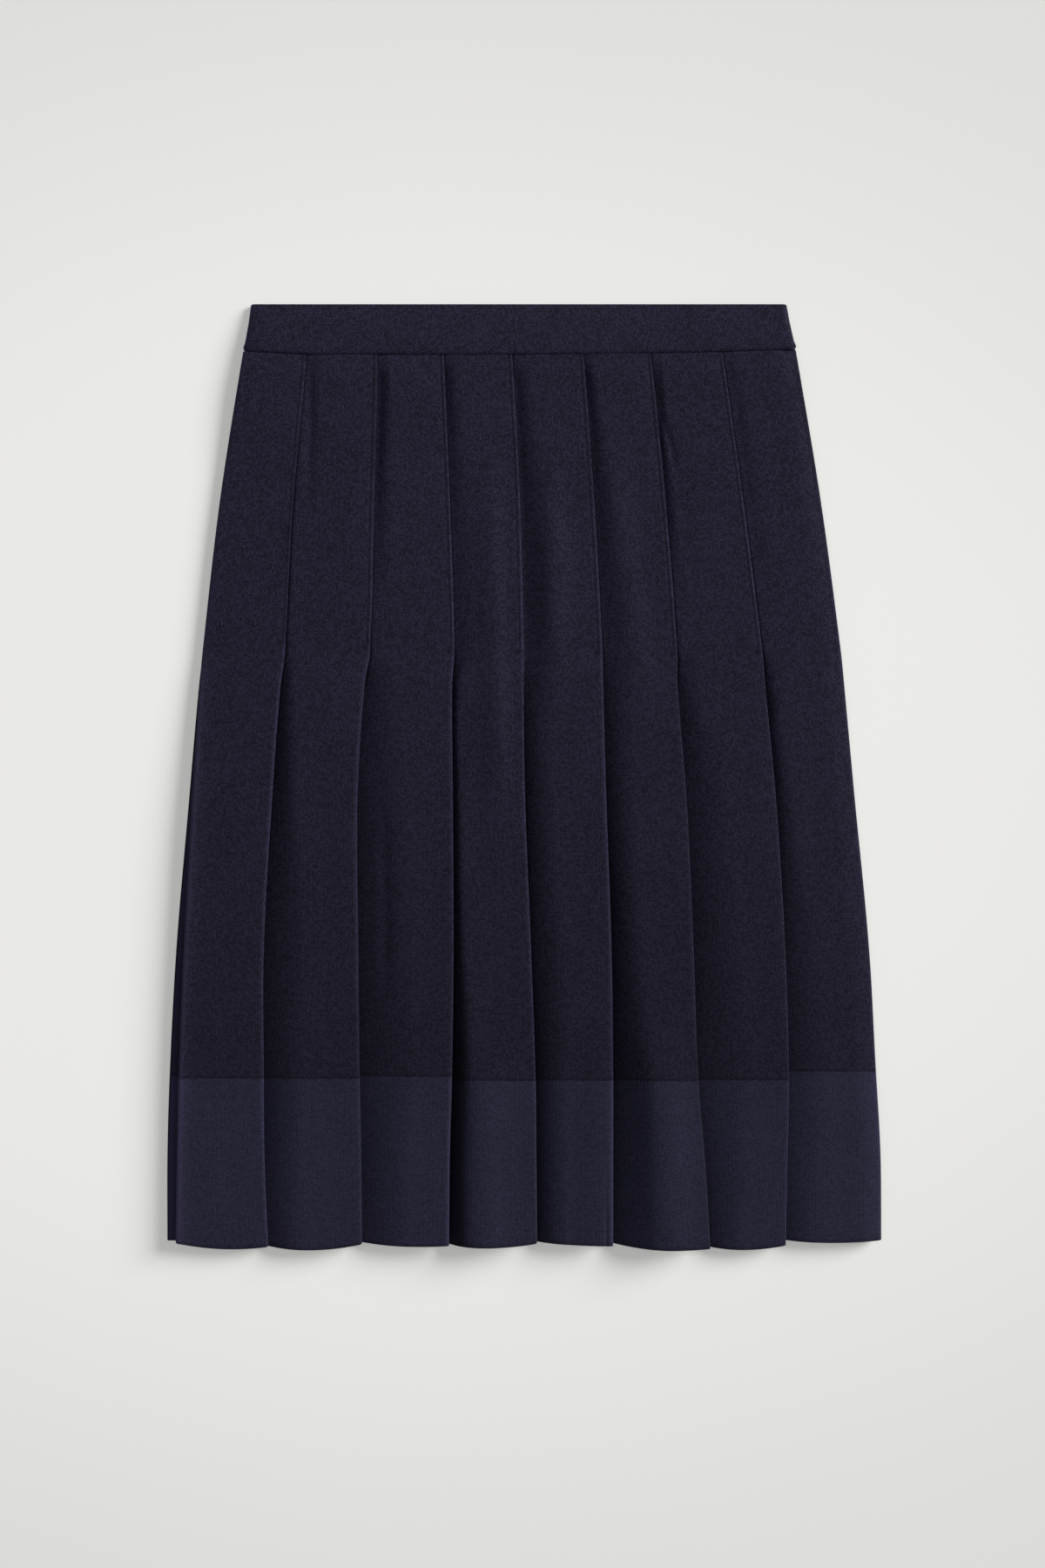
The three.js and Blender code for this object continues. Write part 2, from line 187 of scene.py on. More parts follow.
# Creases and swells of the front panels: a centre line from (x, s) to (x, s), half width (another
# to the `left` if it is given), and height, which is negative for a trough. They fade in and out
# over `soft` at their ends.
FRONT_CREASES = [
    dict(panel=7, x0=88.4, s0=38, x1=92.3, s1=75, width=1.5, height=-1.8, soft=9),
    dict(panel=7, x0=92.0, s0=72, x1=100.4, s1=107, width=1.2, height=-1.4, soft=7),
    dict(panel=7, x0=86.0, s0=30, x1=94.5, s1=84, width=2.4, height=0.9, soft=22),
    dict(panel=7, x0=97.0, s0=100, x1=112.0, s1=190, width=6.0, height=-0.5, soft=40),
    dict(panel=2, x0=-141.5, s0=52, x1=-143.5, s1=118, width=2.6, height=-1.1, soft=18),
    dict(panel=3, x0=-74.0, s0=34, x1=-54.0, s1=57, width=3.5, height=-0.4, soft=7),
    dict(panel=3, x0=-93.0, s0=350, x1=-92.0, s1=450, width=3.4, height=-0.8, soft=30),
    dict(panel=4, x0=-22.0, s0=120, x1=-17.0, s1=320, left=13.0, width=6.5, height=1.8, soft=45),
    dict(panel=4, x0=-26.0, s0=500, x1=-26.0, s1=650, width=15.0, height=2.0, soft=40),
    dict(panel=5, x0=54.2, s0=590, x1=54.6, s1=650, width=1.0, height=-0.5, soft=30),
    dict(panel=5, x0=17.0, s0=120, x1=20.0, s1=240, width=9.5, height=2.2, soft=40),
    dict(panel=5, x0=52.0, s0=490, x1=52.0, s1=650, width=15.0, height=1.6, soft=40),
    dict(panel=6, x0=58.0, s0=110, x1=79.0, s1=262, left=12.0, width=9.0, height=1.6, soft=40),
    dict(panel=6, x0=92.0, s0=500, x1=97.0, s1=640, width=15.0, height=3.4, soft=45),
]

# Lower edge of the waistband across the garment, and its outline from top to bottom.
SEAM_X = [-190, -144, 0, 115, 184]
SEAM_S = [31.6, 33.8, 33.8, 32.4, 30.4]
WAISTBAND_OUTLINE = [
    dict(down=0, left=-182.5, right=175),
    dict(down=0.38, left=-184, right=177),
    dict(down=0.8, left=-186.3, right=179.8),
    dict(down=0.92, left=-187.6, right=181.4),
    dict(down=1, left=-187, right=180.8),
]

# The line of stitching beside a pleat's edge: its distance from the edge, half width and depth.
STITCH_LINE = 2.7
STITCH_WIDTH = 0.6
STITCH_DEPTH = 0.26

# Columns of points on each stretch of a pleat.
COLUMNS = {"shown": 34, "turn": 6, "hidden": 4, "rear": 14}


class SkirtSizes(bpy.types.PropertyGroup):
    """Sizes that a maker would change."""

    cloth: bpy.props.FloatProperty(
        name="Cloth", description="Thickness of the knit, in millimetres", default=1.2, min=1.0, max=1.35
    )
    pleat_cloth: bpy.props.FloatProperty(
        name="Pleat cloth", description="Width of cloth in one pleat, in millimetres", default=106.0
    )
    wale: bpy.props.FloatProperty(
        name="Wale", description="Distance between two columns of stitches, in millimetres", default=1.4
    )
    course: bpy.props.FloatProperty(
        name="Course", description="Distance between two rows of stitches, in millimetres", default=1.1
    )


class SkirtColours(bpy.types.PropertyGroup):
    """Colours of the yarns and of the floor."""

    navy: bpy.props.FloatVectorProperty(
        name="Navy yarn", description="Main yarn", subtype="COLOR", size=3, default=(0.0018, 0.0014, 0.0040)
    )
    fleck: bpy.props.FloatVectorProperty(
        name="Fleck", description="Lighter fibres in the yarn", subtype="COLOR", size=3,
        default=(0.083, 0.0695, 0.158),
    )
    band: bpy.props.FloatVectorProperty(
        name="Band yarn", description="Yarn of the hem band", subtype="COLOR", size=3,
        default=(0.0084, 0.0103, 0.0215),
    )
    floor: bpy.props.FloatVectorProperty(
        name="Floor", description="Pale floor", subtype="COLOR", size=3, default=(0.822, 0.82, 0.798)
    )


# Shapes ------------------------------------------------------------------------------------------


def mix(a, b, t):
    return a + (b - a) * t


def ease(a, b, x):
    """0 before a, 1 after b, and a smooth step between."""
    t = np.clip((x - a) / (b - a), 0, 1)
    return t * t * (3 - 2 * t)


def bell(x, width):
    """A bump of height 1 at x = 0 that falls to 0.37 at x = width."""
    return np.exp(-((x / width) ** 2))


def along(row, s):
    """Value of a table row at heights s: a cubic curve through the row's named stations."""
    names = [name for name in STATION if name in row]
    at = np.array([STATION[name] for name in names], float)
    value = np.array([row[name] for name in names], float)
    s = np.clip(s, at[0], at[-1])
    ahead = np.minimum(np.arange(len(at)) + 1, len(at) - 1)
    behind = np.maximum(np.arange(len(at)) - 1, 0)
    slope = (value[ahead] - value[behind]) / (at[ahead] - at[behind])
    i = np.clip(np.searchsorted(at, s, side="right") - 1, 0, len(at) - 2)
    span = at[i + 1] - at[i]
    t = (s - at[i]) / span
    steady = mix(value[i], value[i + 1], t * t * (3 - 2 * t))
    return steady + span * (slope[i] * t * (1 - t) ** 2 + slope[i + 1] * t * t * (t - 1))


def sizes():
    return bpy.context.scene.skirt_sizes


def colours():
    return bpy.context.scene.skirt_colours


def pitch():
    return sizes().cloth + AIR


def level(number):
    """Height of the middle of cloth `number`, counted from the floor."""
    return sizes().cloth / 2 + pitch() * number


class Half:
    """Front or back: where its folds are and how its panels lie."""

    def __init__(self, name):
        self.name = name
        self.front = name == "front"
        self.sign = 1 if self.front else -1

    def edges(self, s):
        """Places of the side fold and of the eight pleat edges along u, an array for each."""
        front = [along(row, s) for row in FRONT_FOLDS]
        if self.front:
            return front
        start = front[8] - REAR_INSET
        last = along(REAR_LAST, s)
        return [-mix(start, last, (x - front[0]) / (front[8] - front[0])) for x in front]

    def hem(self, k):
        """Top of the hem band, the hem's curve and the release of panel k."""
        if self.front:
            return FRONT_HEM[k - 1]
        low = mix(REAR_HEM["first"], REAR_HEM["last"], (k - 1) / 7)
        return dict(line=REAR_HEM["line"], left=low, mid=low + 0.8, right=low, freed=REAR_HEM["freed"])

    def lift(self, k, s):
        return along(FRONT_LIFT[k - 1], s) if self.front else 0 * s

    def other(self):
        return Half("back" if self.front else "front")

    def place(self, u, h):
        """x and z of points at u and h: the back is turned over about the middle of the stack."""
        if self.front:
            return u, h
        return -u, level(0) + level(LAYERS - 1) - h


def depth(edge, k):
    """How far pleat k is folded back: half of what its cloth has left over."""
    return (sizes().pleat_cloth - (edge[k] - edge[k - 1])) / 2


def lift_at(half, edge, k, s, u):
    """Lift of pleat k at u: all of it at the edge, less at the inner fold, and a parabola down over
    the last millimetres where the edge bends over."""
    from_edge = edge[k] - u
    share = mix(1, LIFT_INSIDE, np.clip(from_edge / depth(edge, k), 0, 1))
    lift = half.lift(k, s)
    if not half.front:
        return lift * share
    bend = np.minimum(along(FRONT_ROLL[k - 1], s), 0.25 + 0.55 * lift) * (1 - stitched(half, k, s))
    return lift * share - bend * np.clip(1 - from_edge / ROLL_WIDTH, 0, 1) ** 2


def stitched(half, k, s):
    """1 where pleat k is stitched down, 0 below its release."""
    return 1 - ease(-2.5, 2.5, s - half.hem(k)["freed"])


def creases(half, k, s, u):
    """Troughs and swells of panel k: bells across a straight centre line that fade at its ends."""
    total = 0 * (u + s)
    if not half.front:
        return total
    for row in FRONT_CREASES:
        if row["panel"] != k:
            continue
        t = (s - row["s0"]) / (row["s1"] - row["s0"])
        soft = row["soft"]
        fade = ease(-soft, soft, s - row["s0"]) * ease(-soft, soft, row["s1"] - s)
        off = u - mix(row["x0"], row["x1"], t)
        wide = np.where(off < 0, row.get("left", row["width"]), row["width"])
        total = total + row["height"] * fade * bell(off, wide)
    return total


def shown_height(half, edge, k, s, u):
    """Middle height of panel k where it shows. It comes up from cloth 3 beside the pleat before to
    cloth 5 and its own lift, steep at first and then ever less; a share of the climb comes at once
    beside a stitched pleat. The side fold stands up, and the stitching draws a line in."""
    from_left = u - edge[k - 1]
    from_edge = edge[k] - u
    sewn = stitched(half, k, s)
    drawn_in = STITCH_DEPTH * sewn * bell(from_edge - STITCH_LINE, STITCH_WIDTH)
    room = edge[k] - depth(edge, k) - edge[k - 1] - 1.5
    if not half.front:
        climb = 1 - (1 - np.clip(from_left / np.minimum(room, 6.0), 0, 1)) ** 2.1
        return mix(level(3), level(5) + lift_at(half, edge, k, s, u), climb) - drawn_in
    if k == 1:
        ridge = along(SIDE_RIDGE, s) * np.exp(-np.maximum(from_left, 0) / 3.4)
        h = level(5) + lift_at(half, edge, k, s, u) + ridge
    else:
        hollow = along(FRONT_HOLLOW[k - 2], s)
        run = np.minimum(along(FRONT_CLIMB[k - 2], s) + hollow, room) - hollow
        bend = along(FRONT_BEND[k - 2], s)
        climb = 1 - (1 - np.clip((from_left - hollow) / run, 0, 1)) ** bend
        bed = np.clip(along(FRONT_BED[k - 2], s), 0, 1)
        bed = np.maximum(bed, 0.8 * (1 - ease(2, 20, s - STATION["seam"])))
        climb = mix(climb, ease(-2.2, -0.3, from_left), bed)
        h = mix(level(3), level(5) + lift_at(half, edge, k, s, u), climb)
    swell = np.sin(np.pi * np.clip(from_left / (edge[k] - edge[k - 1]), 0, 1))
    slow = 1 + np.sin(s / 31 + 2.3 * k) * np.cos(s / 57 + k)
    h = h + 0.16 * slow * swell + creases(half, k, s, u)
    return h + 0.12 * sewn * bell(from_edge - 1.0, 0.9) - drawn_in


def painted_groove_shade(half, edge, k, s, u):
    """How much painted shade a point gets in the line of the stitching, in the dimple of its last stitches,
    and in the deep valley beside the middle pleat of the front."""
    from_edge = edge[k] - u
    dimple = bell(s - half.hem(k)["freed"], 1.9) * bell(from_edge - 3.9, 1.4)
    mask = stitched(half, k, s) * bell(from_edge - STITCH_LINE, STITCH_WIDTH) + 2 * dimple
    if half.front and k == 4:
        mask = mask + 1.5 * ease(400, 520, s) * (1 - ease(6, 13, u - edge[3]))
    return mask


def painted_edge_light_and_shade(half, edge, k, s, u):
    """How much lighter a pleat's edge or the side fold is painted, a painted highlight standing in for the
    fibres of turned loops catching the light; below 0 it is painted darker, a painted shade."""
    if not half.front:
        return 0 * (u + s)
    loose = 0.55 * (along(FRONT_ROLL[k - 1], s) - 0.45) if k < 8 else 0.3 + 0 * s
    held = mix(-0.15, 0.2, ease(90, 190, s))
    near = bell(np.maximum(edge[k] - u - 1.3, 0), 0.6) * mix(loose, held, stitched(half, k, s))
    if k > 1:
        return near
    return near + (0.2 + 0.5 * along(SIDE_RIDGE, s)) * bell(u - edge[0] - 0.9, 0.8)


def settled(x, s, z):
    """The stack of cloths is pressed together towards the right side, towards the left one above
    the releases, and under the waistband: a share of every height, so no cloth meets another."""
    from_right = along(FRONT_FOLDS[8], s) - x
    right = np.clip(1 - from_right / 15, 0, 1) ** 2
    slope = np.clip(1 - from_right / 62, 0, 1) ** 1.2 * ease(120, 330, s) * (1 - 0.6 * ease(470, 540, s))
    left = np.clip(1 - (x - along(FRONT_FOLDS[0], s)) / 90, 0, 1)
    left = left * ease(50, 120, s) * (1 - ease(220, 360, s))
    waist = 1 - ease(0, 14, s - STATION["seam"])
    return z * (1 - 0.3 * right) * (1 - 0.33 * slope) * (1 - 0.28 * left) * (1 - 0.1 * waist)


class Section:
    """Stretches of one cloth's middle line, joined side by side into grids over rows and columns."""

    def __init__(self, half, s):
        self.half = half
        self.s = s[:, None]
        self.stretches = []

    def add(self, u, h, cloth, line, end, groove_shade=0.0, edge_light_shade=0.0):
        shape = np.broadcast_shapes(np.shape(u), np.shape(h), self.s.shape)
        values = (u, h, cloth, line, end, groove_shade, edge_light_shade)
        self.stretches.append([np.broadcast_to(np.asarray(v, float), shape) for v in values])

    def grids(self):
        return [np.concatenate(column, axis=1) for column in zip(*self.stretches)]


def middle_surface(half, s):
    """Grids over rows s of a half's middle surface: u, h, place across the cloth, top of the hem band, hem,
    painted groove shade and painted edge light and shade. The path starts at the side seam hidden in the
    other half's last pleat, turns round the side fold, makes eight pleats and ends at the seam hidden in
    its own last one."""
    part = Section(half, s)
    s = part.s
    edge = half.edges(s)
    other = half.other()
    other_edge = other.edges(s)
    tall = pitch() / 2  # half height of a fold's middle line
    reach = 0.9  # and its half width
    outside = reach + sizes().cloth / 2
    turn = np.linspace(0, np.pi, COLUMNS["turn"] + 2)[1:-1]
    hidden = np.linspace(0, 1, COLUMNS["hidden"])
    seam = depth(other_edge, 8) - other_edge[8] + outside - reach
    side = edge[0] + outside
    first = half.hem(1)
    line, low = first["line"], first["left"]

    def turned(centre, bottom, top, side_sign, direction):
        """A half circle of the middle line, from bottom to top or back."""
        angle = turn if direction > 0 else turn[::-1]
        u = centre + side_sign * reach * np.sin(angle)
        h = mix(bottom, top, 0.5 - 0.5 * np.cos(angle))
        return u, h

    part.add(seam - reach + np.array([-1.2, 0.0]), level(1), -np.array([27.0, 26.0]), line, low - 1)
    u, h = turned(seam - reach, level(1), level(2), 1, 1)
    part.add(u, h, -25.0, line, low - 1)
    u = mix(seam - reach, side, hidden)
    part.add(u, level(2), mix(-24.0, -1.5, hidden), line, mix(low - 1, low, hidden))
    top = shown_height(half, edge, 1, s, side) if half.front else level(3)
    u, h = turned(side, level(2), top, -1, 1)
    # painted highlight on the upper half of the side fold's turn
    edge_light_shade = (1.1 + painted_edge_light_and_shade(half, edge, 1, s, side)) * np.clip(3 * turn / np.pi - 1, 0, 1) * half.front
    part.add(u, h, mix(-1.5, 0, turn / np.pi), line, low, 0.0, edge_light_shade)

    for k in range(1, 9):
        wide = sizes().pleat_cloth
        deep = depth(edge, k)
        centre = edge[k] - outside
        inner = centre - deep + reach
        start = side if k == 1 else edge[k - 1] + mix(0.45, -0.35, stitched(half, k - 1, s))
        facts = half.hem(k)
        line = facts["line"]

        t = np.linspace(0, 1, COLUMNS["shown" if half.front else "rear"])
        t = mix(1 - (1 - t) ** 1.7, t**1.4, 0.25)
        u = mix(start, centre, t)
        share = (u - edge[k - 1]) / (edge[k] - edge[k - 1])
        bow = facts["mid"] - (facts["left"] + facts["right"]) / 2
        low = mix(facts["left"], facts["right"], share) + 4 * share * (1 - share) * bow
        own = wide * k - (edge[k] - u)
        if k == 1:
            own = mix(0 * u, own, ease(0, 12, u - edge[0]))
            own = np.maximum(own, wide - (edge[k] - u))
        groove_shade = painted_groove_shade(half, edge, k, s, u)
        edge_light_shade = painted_edge_light_and_shade(half, edge, k, s, u)
        part.add(u, shown_height(half, edge, k, s, u), own, line, low, groove_shade, edge_light_shade)

        top = shown_height(half, edge, k, s, centre)
        u, h = turned(centre, top - 2 * tall, top, 1, -1)
        edge_light_shade = painted_edge_light_and_shade(half, edge, k, s, centre)
        part.add(u, h, wide * k + mix(-1, 1, turn / np.pi), line, facts["right"], 0.0, edge_light_shade)

        back = np.linspace(0, 1, COLUMNS["hidden"] + 2)
        u = mix(centre, inner, back)
        under = level(4) + lift_at(half, edge, k, s, u + outside)
        under = mix(top - 2 * tall, under, np.clip(back * 6, 0, 1))
        low = facts["right"] - 0.05 * (centre - u)
        # painted light: the shaded strip of the back's last pleat, beside the side fold, is painted lighter
        painted_fill_light = 0 * u if half.front or k < 8 else 2.3 * np.clip(1 - (centre - u) / 8, 0, 1)
        part.add(u, under, wide * k + (centre - u) + 1.5, line, low, 0.0, painted_fill_light)
        if k == 8:
            break
        low = low[:, -1:]
        over = under[:, -1:]
        u, h = turned(inner, level(3), over, -1, -1)
        part.add(u, h, wide * k + deep, line, low)
        ahead = half.hem(k + 1)
        u = mix(inner, edge[k] - mix(0.3, 0.9, stitched(half, k, s)), hidden)
        part.add(
            u, level(3), wide * (k + 1) - (edge[k + 1] - u), mix(line, ahead["line"], hidden),
            mix(low, ahead["left"], hidden),
        )
    return part.grids()


def seam_at(x):
    """Height of the waistband's lower edge at x."""
    return np.interp(x, SEAM_X, SEAM_S)


def fall(x, s, line, end):
    """Where a point of nominal height s ends up: the top follows the waistband, the hem its curve."""
    top = seam_at(x) + JOIN_GAP
    body = np.where(
        s < STATION["hip"],
        mix(top, STATION["hip"], (s - STATION["seam"]) / (STATION["hip"] - STATION["seam"])),
        s,
    )
    knee = mix(STATION["knee"], line, (s - STATION["knee"]) / (STATION["line"] - STATION["knee"]))
    band = mix(line, end, (s - STATION["line"]) / (STATION["hem"] - STATION["line"]))
    return np.where(s > STATION["line"], band, np.where(s > STATION["knee"], knee, body))


def sideways(x, z):
    """Unit normals of the middle lines in the plane across the garment."""
    dx = np.gradient(x, axis=1)
    dz = np.gradient(z, axis=1)
    size = np.hypot(dx, dz)
    return -dz / size, dx / size


def new_object(name, data):
    """An object for a mesh, a lamp or a camera, linked into the scene."""
    item = bpy.data.objects.new(name, data)
    bpy.context.scene.collection.objects.link(item)
    return item


def closed_sheet(name, outer, inner, uv, ring=False):
    """A closed wall between two grids of points in millimetres, with the sheet's own UV map in
    metres. On a ring the last column joins the first, and uv has one column more."""
    rows, cols = outer.shape[:2]
    spans = cols if ring else cols - 1
    last = rows - 1
    j, i = (g.ravel() for g in np.meshgrid(np.arange(last), np.arange(spans), indexing="ij"))
    i0 = np.arange(spans)
    j0 = np.arange(last)
    zero, end = 0 * i0, 0 * i0 + last
    faces = [
        [(0, j, i), (0, j + 1, i), (0, j + 1, i + 1), (0, j, i + 1)],
        [(1, j, i + 1), (1, j + 1, i + 1), (1, j + 1, i), (1, j, i)],
        [(0, zero, i0), (0, zero, i0 + 1), (1, zero, i0 + 1), (1, zero, i0)],
        [(0, end, i0 + 1), (0, end, i0), (1, end, i0), (1, end, i0 + 1)],
    ]
    if not ring:
        at, to = 0 * j0, 0 * j0 + cols - 1
        faces.append([(0, j0 + 1, at), (0, j0, at), (1, j0, at), (1, j0 + 1, at)])
        faces.append([(0, j0, to), (0, j0 + 1, to), (1, j0 + 1, to), (1, j0, to)])

    def points(side, row, col):
        return side * rows * cols + row * cols + col % cols

    def places(side, row, col):
        return row * uv.shape[1] + col

    corners = np.concatenate([np.stack([points(*c) for c in face], axis=1) for face in faces])
    mapped = np.concatenate([np.stack([places(*c) for c in face], axis=1) for face in faces])
    mesh = bpy.data.meshes.new(name)
    mesh.vertices.add(2 * rows * cols)
    mesh.vertices.foreach_set("co", (np.concatenate([outer, inner]) * MM).ravel())
    mesh.loops.add(corners.size)
    mesh.loops.foreach_set("vertex_index", corners.ravel().astype(np.int32))
    mesh.polygons.add(len(corners))
    mesh.polygons.foreach_set("loop_start", np.arange(0, corners.size, 4, dtype=np.int32))
    mesh.polygons.foreach_set("use_smooth", np.ones(len(corners), bool))
    layer = mesh.uv_layers.new(name="cloth")
    layer.uv.foreach_set("vector", (uv.reshape(-1, 2)[mapped.ravel()] * MM).ravel())
    mesh.update(calc_edges=True)
    mesh.validate()
    ends = np.empty(2 * len(mesh.edges), int)
    mesh.edges.foreach_get("vertices", ends)
    side, row = np.divmod(ends.reshape(-1, 2) // cols, rows)
    at_end = (row[:, 0] == row[:, 1]) & np.isin(row[:, 0], (0, last))
    sharp = mesh.attributes.new("sharp_edge", "BOOLEAN", "EDGE")
    sharp.data.foreach_set("value", at_end & (side[:, 0] == side[:, 1]))
    return new_object(name, mesh)


def mark(piece, name, values):
    """A value for each point, on both faces of a sheet, for its material to read."""
    layer = piece.data.attributes.new(name, "FLOAT", "POINT")
    both = np.concatenate([values.ravel(), values.ravel()])
    layer.data.foreach_set("value", both.astype(np.float32))


def to_frame(x, s, z):
    """Points of the garment in the frame, whose origin is the middle of its outline."""
    across = -(FRONT_FOLDS[8]["hem"] + REAR_LAST["hem"]) / 2
    return np.stack([x + across, TOP_Y - s, z], axis=-1)


def pleated_cloth(name, half, rows, open_top, open_end):
    """One cloth of a half between its first and last row. The wall is thinned over the last rows at
    an end, so that the edge is round, and a thickness's share per row is given with each row."""
    nominal, share = (np.array(column, float) for column in zip(*rows))
    u, h, cloth, line, end, groove_shade, edge_light_shade = middle_surface(half, nominal)
    x, z = half.place(u, h)
    nx, nz = sideways(x, z)
    wall = sizes().cloth / 2 * share[:, None]
    s = fall(x, nominal[:, None], line, end)
    s = s + np.where(nominal == nominal[0], open_top, 0)[:, None]
    s = s - np.where(nominal == nominal[-1], open_end, 0)[:, None]
    rows_s = nominal[:, None]
    outer = to_frame(x + nx * wall, s, settled(x, rows_s, z + nz * wall))
    inner = to_frame(x - nx * wall, s, settled(x, rows_s, z - nz * wall))
    uv = np.stack([cloth, np.broadcast_to(nominal[:, None], cloth.shape)], axis=-1)
    piece = closed_sheet(name, outer, inner, uv)
    mark(piece, "groove_shade", groove_shade)
    # painted highlight: the thinned rows at the hem's edge are painted lighter
    mark(piece, "edge_light_shade", edge_light_shade + np.where(nominal > STATION["low"], 1.6 * (1 - share), 0)[:, None])
    return piece


def spaced(start, stop, step):
    return np.linspace(start, stop, max(2, round((stop - start) / step) + 1))


def body_rows(front):
    """Rows of a half's pleats, closer where they are let go."""
    step = 5.0 if front else 9.0
    top, end = STATION["seam"], STATION["line"]
    stretches = [
        spaced(top + 0.7, 40, 2.0 if front else 4.0)[:-1],
        spaced(40, 220, step)[:-1],
        spaced(220, 240, 1.6 if front else 4.0)[:-1],
        spaced(240, end, step),
    ]
    middle = [(s, 1.0) for s in np.concatenate(stretches)]
    return [(top, 0.55)] + middle


def hem_rows(front):
    top, end = STATION["line"], STATION["hem"]
    middle = [(s, 1.0) for s in spaced(top, end - 0.8, 4.0 if front else 8.0)]
    return middle + [(end - 0.35, 0.9), (end - 0.1, 0.65), (end, 0.3)]


def waistband_mesh():
    """A flattened ring. Its middle line runs along the front wall, round the right side fold, back
    along the floor and round the left one. The front wall rises from the top edge to the pleats,
    and the strip's folded top edge is a half circle."""
    wall = WAISTBAND_WALL
    seam_height = 33.0
    shares = [(0.0, 0.25), (0.12, 0.55), (0.35, 0.8), (0.8, 0.97), (1.4, 1.0)]
    shares += [(s, 1.0) for s in spaced(2.5, 30.2, 1.7)]
    shares += [(31.2, 0.97), (32.0, 0.85), (32.6, 0.65), (33.0, 0.4)]
    s, share = (np.array(column)[:, None] for column in zip(*shares))
    down = s / seam_height
    rows = WAISTBAND_OUTLINE
    left = np.interp(down, [r["down"] for r in rows], [r["left"] for r in rows]) + wall / 2
    right = np.interp(down, [r["down"] for r in rows], [r["right"] for r in rows]) - wall / 2
    floor = wall / 2
    low = floor + wall + AIR
    high = level(LAYERS - 1) + sizes().cloth / 2 - wall / 2 + 0.25
    top = mix(low, high, np.sin(down * np.pi / 2))
    across = np.linspace(0, 1, 91)
    turn = np.linspace(0, np.pi, 9)[1:-1]
    inset = WAISTBAND_TURN
    front_x = mix(left + inset, right - inset, across)
    wave = 0.18 * np.sin(front_x / 23.0 + 1.0) * np.sin(front_x / 61.0) + 0.1 * np.sin(front_x / 9.5)
    front_z = top + wave * np.sin(down * np.pi) + 0 * front_x
    right_x = right - inset + inset * np.sin(turn)
    right_z = mix(floor, top, 0.5 + 0.5 * np.cos(turn))
    left_x = left + inset - inset * np.sin(turn)
    left_z = mix(floor, top, 0.5 - 0.5 * np.cos(turn))
    x = np.concatenate([front_x, right_x, front_x[:, ::-1], left_x], axis=1)
    z = np.concatenate([front_z, right_z, floor + 0 * front_x, left_z], axis=1)
    wide = np.concatenate([x[:, -1:], x, x[:, :1]], axis=1)
    tall = np.concatenate([z[:, -1:], z, z[:, :1]], axis=1)
    nx, nz = (g[:, 1:-1] for g in sideways(wide, tall))
    place = down * seam_at(x)
    half = wall / 2 * share
    outer = to_frame(x + nx * half, place, np.maximum(z + nz * half, 0))
    inner = to_frame(x - nx * half, place, z - nz * half)
    step = np.hypot(np.diff(wide[:, 1:], axis=1), np.diff(tall[:, 1:], axis=1)).mean(axis=0)
    around = np.concatenate([[0], np.cumsum(step)])
    uv = np.stack(np.broadcast_arrays(around[None, :], s), axis=-1)
    piece = closed_sheet("waistband_knit", outer, inner, uv, ring=True)
    # painted highlight: the waistband's left end is painted lighter where its rounding would shade dark
    mark(piece, "edge_light_shade", 1.8 * (1 - ease(0.2, 1.8, x - left)))
    return piece


def bartack_mesh():
    """Short bars of close stitches just left of each pleat edge where it is let go: a flat oval tube
    lies on the cloth, with its width pinched by a sine for the thread's turns."""
    half = Half("front")
    around = np.linspace(0, 2 * np.pi, 13)[:-1]
    t = np.linspace(0, 1, 15)
    bars = []
    for k in range(1, 9):
        s = np.array([[FRONT_HEM[k - 1]["freed"]]], float)
        edge = half.edges(s)
        u = float(edge[k][0, 0]) - mix(5.2, 2.9, t)
        top = shown_height(half, edge, k, s, u[None, :])[0] + sizes().cloth / 2
        thick = 0.34 * np.sqrt(np.clip(1 - (2 * t - 1) ** 6, 0.02, 1)) * (1 + 0.16 * np.sin(t * 34))
        slant = 0.5 * np.sin(2.1 * k) * (t - 0.5)
        top = settled(u[None, :], s, top)[0]
        ring_s = s[0, 0] + slant[:, None] + thick[:, None] * np.cos(around)
        ring_z = top[:, None] - 0.1 + 0.7 * thick[:, None] * np.sin(around)
        bars.append(to_frame(u[:, None] + 0 * around, ring_s, ring_z))
    return tubes("pleat_bartacks", bars)


def tubes(name, rings):
    """Closed tubes from grids of rings in millimetres, with a flat cap at each end."""
    vertices, faces = [], []
    for ring in rings:
        rows, cols = ring.shape[:2]
        base = sum(len(v) for v in vertices)
        vertices.append(ring.reshape(-1, 3) * MM)
        j, i = (g.ravel() for g in np.meshgrid(np.arange(rows - 1), np.arange(cols), indexing="ij"))
        n = (i + 1) % cols
        quads = np.stack([j * cols + i, (j + 1) * cols + i, (j + 1) * cols + n, j * cols + n], axis=1)
        faces += (quads + base).tolist()
        faces.append((np.arange(cols) + base).tolist())
        faces.append((np.arange(cols)[::-1] + base + (rows - 1) * cols).tolist())
    mesh = bpy.data.meshes.new(name)
    mesh.from_pydata(np.concatenate(vertices).tolist(), [], faces)
    mesh.polygons.foreach_set("use_smooth", np.ones(len(mesh.polygons), bool))
    return new_object(name, mesh)


# Materials ---------------------------------------------------------------------------------------


class Tree:
    """Adds nodes to a node tree and wires them with few words."""

    def __init__(self, tree):
        self.tree = tree

    def add(self, kind, values=(), **settings):
        node = self.tree.nodes.new(kind)
        for name, value in settings.items():
            setattr(node, name, value)
        for socket, value in dict(values).items():
            self.feed(node.inputs[socket], value)
        return node

    def feed(self, socket, value):
        """Wires an output to a socket, or sets the socket to a number, vector or colour."""
        if isinstance(value, bpy.types.NodeSocket):
            self.tree.links.new(value, socket)
        else:
            socket.default_value = value

    def math(self, operation, a, b=0.0, clamp=False):
        return self.add("ShaderNodeMath", {0: a, 1: b}, operation=operation, use_clamp=clamp).outputs[0]

    def blend(self, share, a, b):
        return self.add("ShaderNodeMix", {0: share, 6: a, 7: b}, data_type="RGBA").outputs[2]


